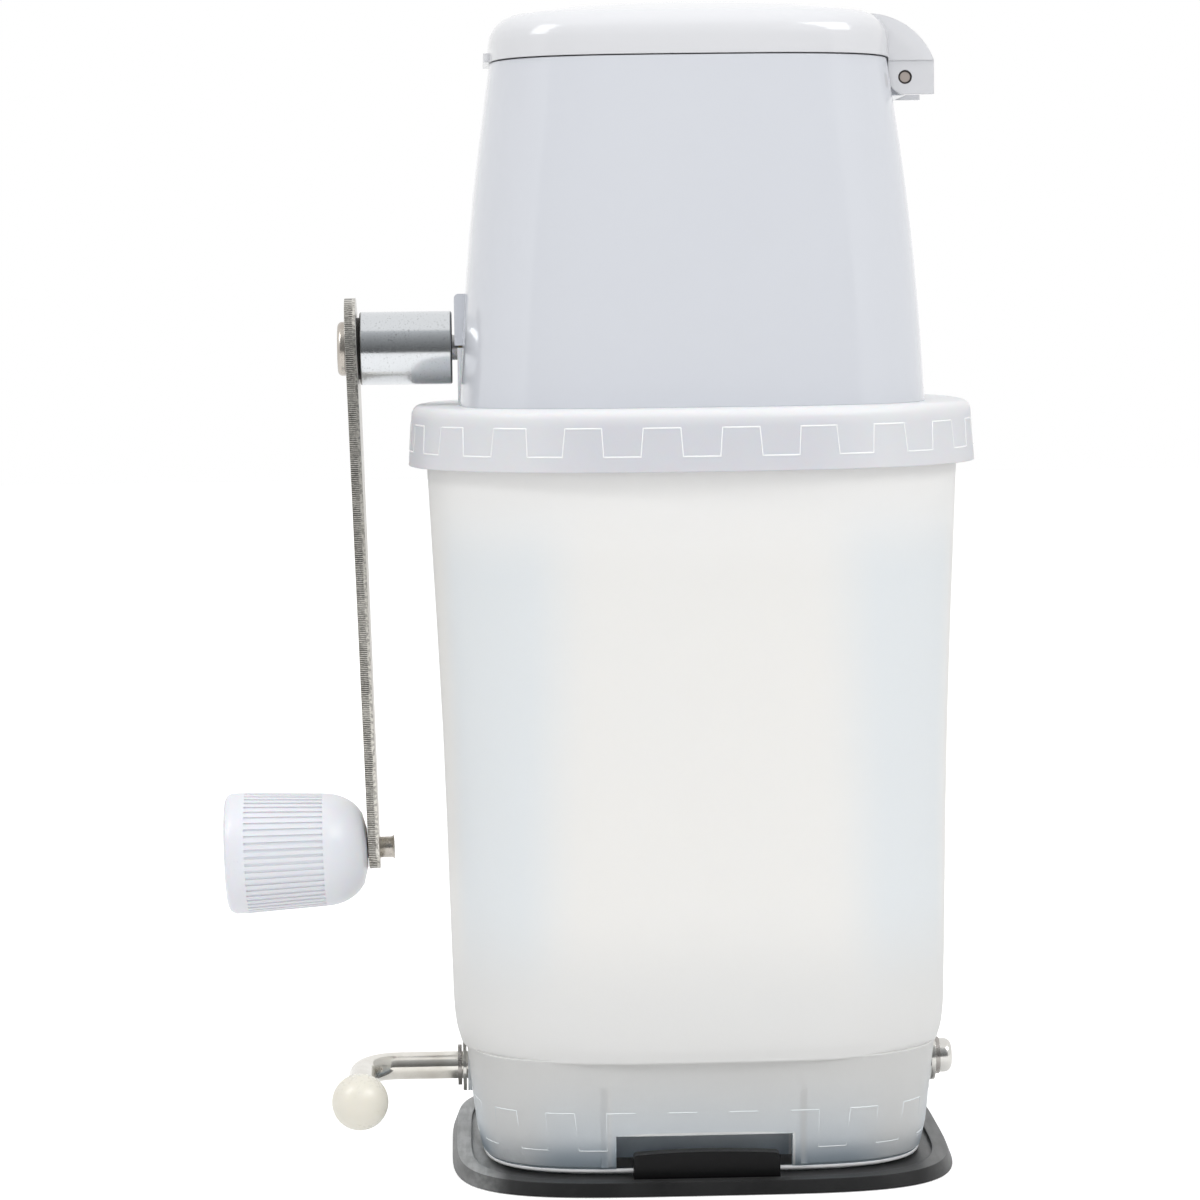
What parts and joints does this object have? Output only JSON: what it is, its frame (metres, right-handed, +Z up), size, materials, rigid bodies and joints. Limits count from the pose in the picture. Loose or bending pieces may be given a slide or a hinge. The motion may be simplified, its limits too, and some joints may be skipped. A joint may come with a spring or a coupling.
{
  "type": "hand crank ice crusher",
  "caption": "Tabletop ice crusher: a lidded white hopper with a cranked blade rotor on a frosted container that stands on a rubber suction pad with a lever.",
  "frame": {"origin": "centre of the suction pad's underside", "axes": "+Z up, the crank on the -X side, the lid's hinge on the +X side, the front towards -Y"},
  "size_m": [0.1741, 0.1144, 0.2645],
  "materials": {
    "white_plastic": "gloss",
    "collar_plastic": "frosted, translucent",
    "frosted_plastic": "frosted, translucent",
    "pad_rubber": "matte",
    "hidden_plastic": "satin",
    "cream_plastic": "gloss",
    "lever_plating": "nickel plated",
    "spring_steel": "satin",
    "screw_zinc": "zinc plated",
    "stainless_steel": "brushed",
    "bush_brass": "turned",
    "turned_aluminium": "satin",
    "arm_nickel": "nickel plated",
    "rivet_steel": "satin"
  },
  "bodies": {
    "base": {"container": "frosted_plastic", "suction_pad": "pad_rubber"},
    "stud": {"suction_stud": "hidden_plastic"},
    "lever": {"lever_shaft": "lever_plating", "lever_ball": "cream_plastic", "suction_cam": "hidden_plastic", "lever_washer": "lever_plating", "lever_clip": "spring_steel", "lever_end_washer": "lever_plating", "lever_lock_washer": "spring_steel", "lever_end_screw": "lever_plating"},
    "head": {"collar": "collar_plastic", "hopper": "white_plastic", "hopper_screws": "screw_zinc", "breaker_grate": "stainless_steel", "grate_screws": "screw_zinc", "crank_side_bush": "bush_brass", "far_side_bush": "bush_brass", "hinge_pin": "lever_plating"},
    "lid": {"lid": "white_plastic"},
    "rotor": {"rotor_shaft": "stainless_steel", "blade_1": "stainless_steel", "blade_2": "stainless_steel", "blade_3": "stainless_steel", "blade_4": "stainless_steel", "blade_5": "stainless_steel", "rotor_spacers": "stainless_steel", "hub_sleeve": "turned_aluminium", "crank_arm": "arm_nickel", "crank_rivet": "rivet_steel", "knob_pin": "rivet_steel"},
    "knob": {"knob": "white_plastic"}
  },
  "joints": [
    {"name": "lever_swing", "type": "hinge", "parent": "base", "child": "lever", "pos_m": [0, 0, 0.019], "axis": [-1, 0, 0], "range_deg": [0, 180]},
    {"name": "stud_lift", "type": "slide", "parent": "base", "child": "stud", "axis": [0, 0, 1], "range_m": [0, 0.0036]},
    {"name": "head_lift", "type": "slide", "parent": "base", "child": "head", "axis": [0, 0, 1], "range_m": [0, 0.08]},
    {"name": "lid_hinge", "type": "hinge", "parent": "head", "child": "lid", "pos_m": [0.04875, 0, 0.24655], "axis": [0, 1, 0], "range_deg": [0, 90]},
    {"name": "crank_spin", "type": "hinge", "parent": "head", "child": "rotor", "pos_m": [0, 0, 0.1867], "axis": [1, 0, 0], "continuous": true},
    {"name": "knob_spin", "type": "hinge", "parent": "rotor", "child": "knob", "pos_m": [-0.07456, 0, 0.07074], "axis": [0.9997, 0, 0.0262], "continuous": true}
  ],
  "couplings": [
    {"joint": "stud_lift", "follows": "lever_swing", "m_per_rad": 0.001145}
  ]
}
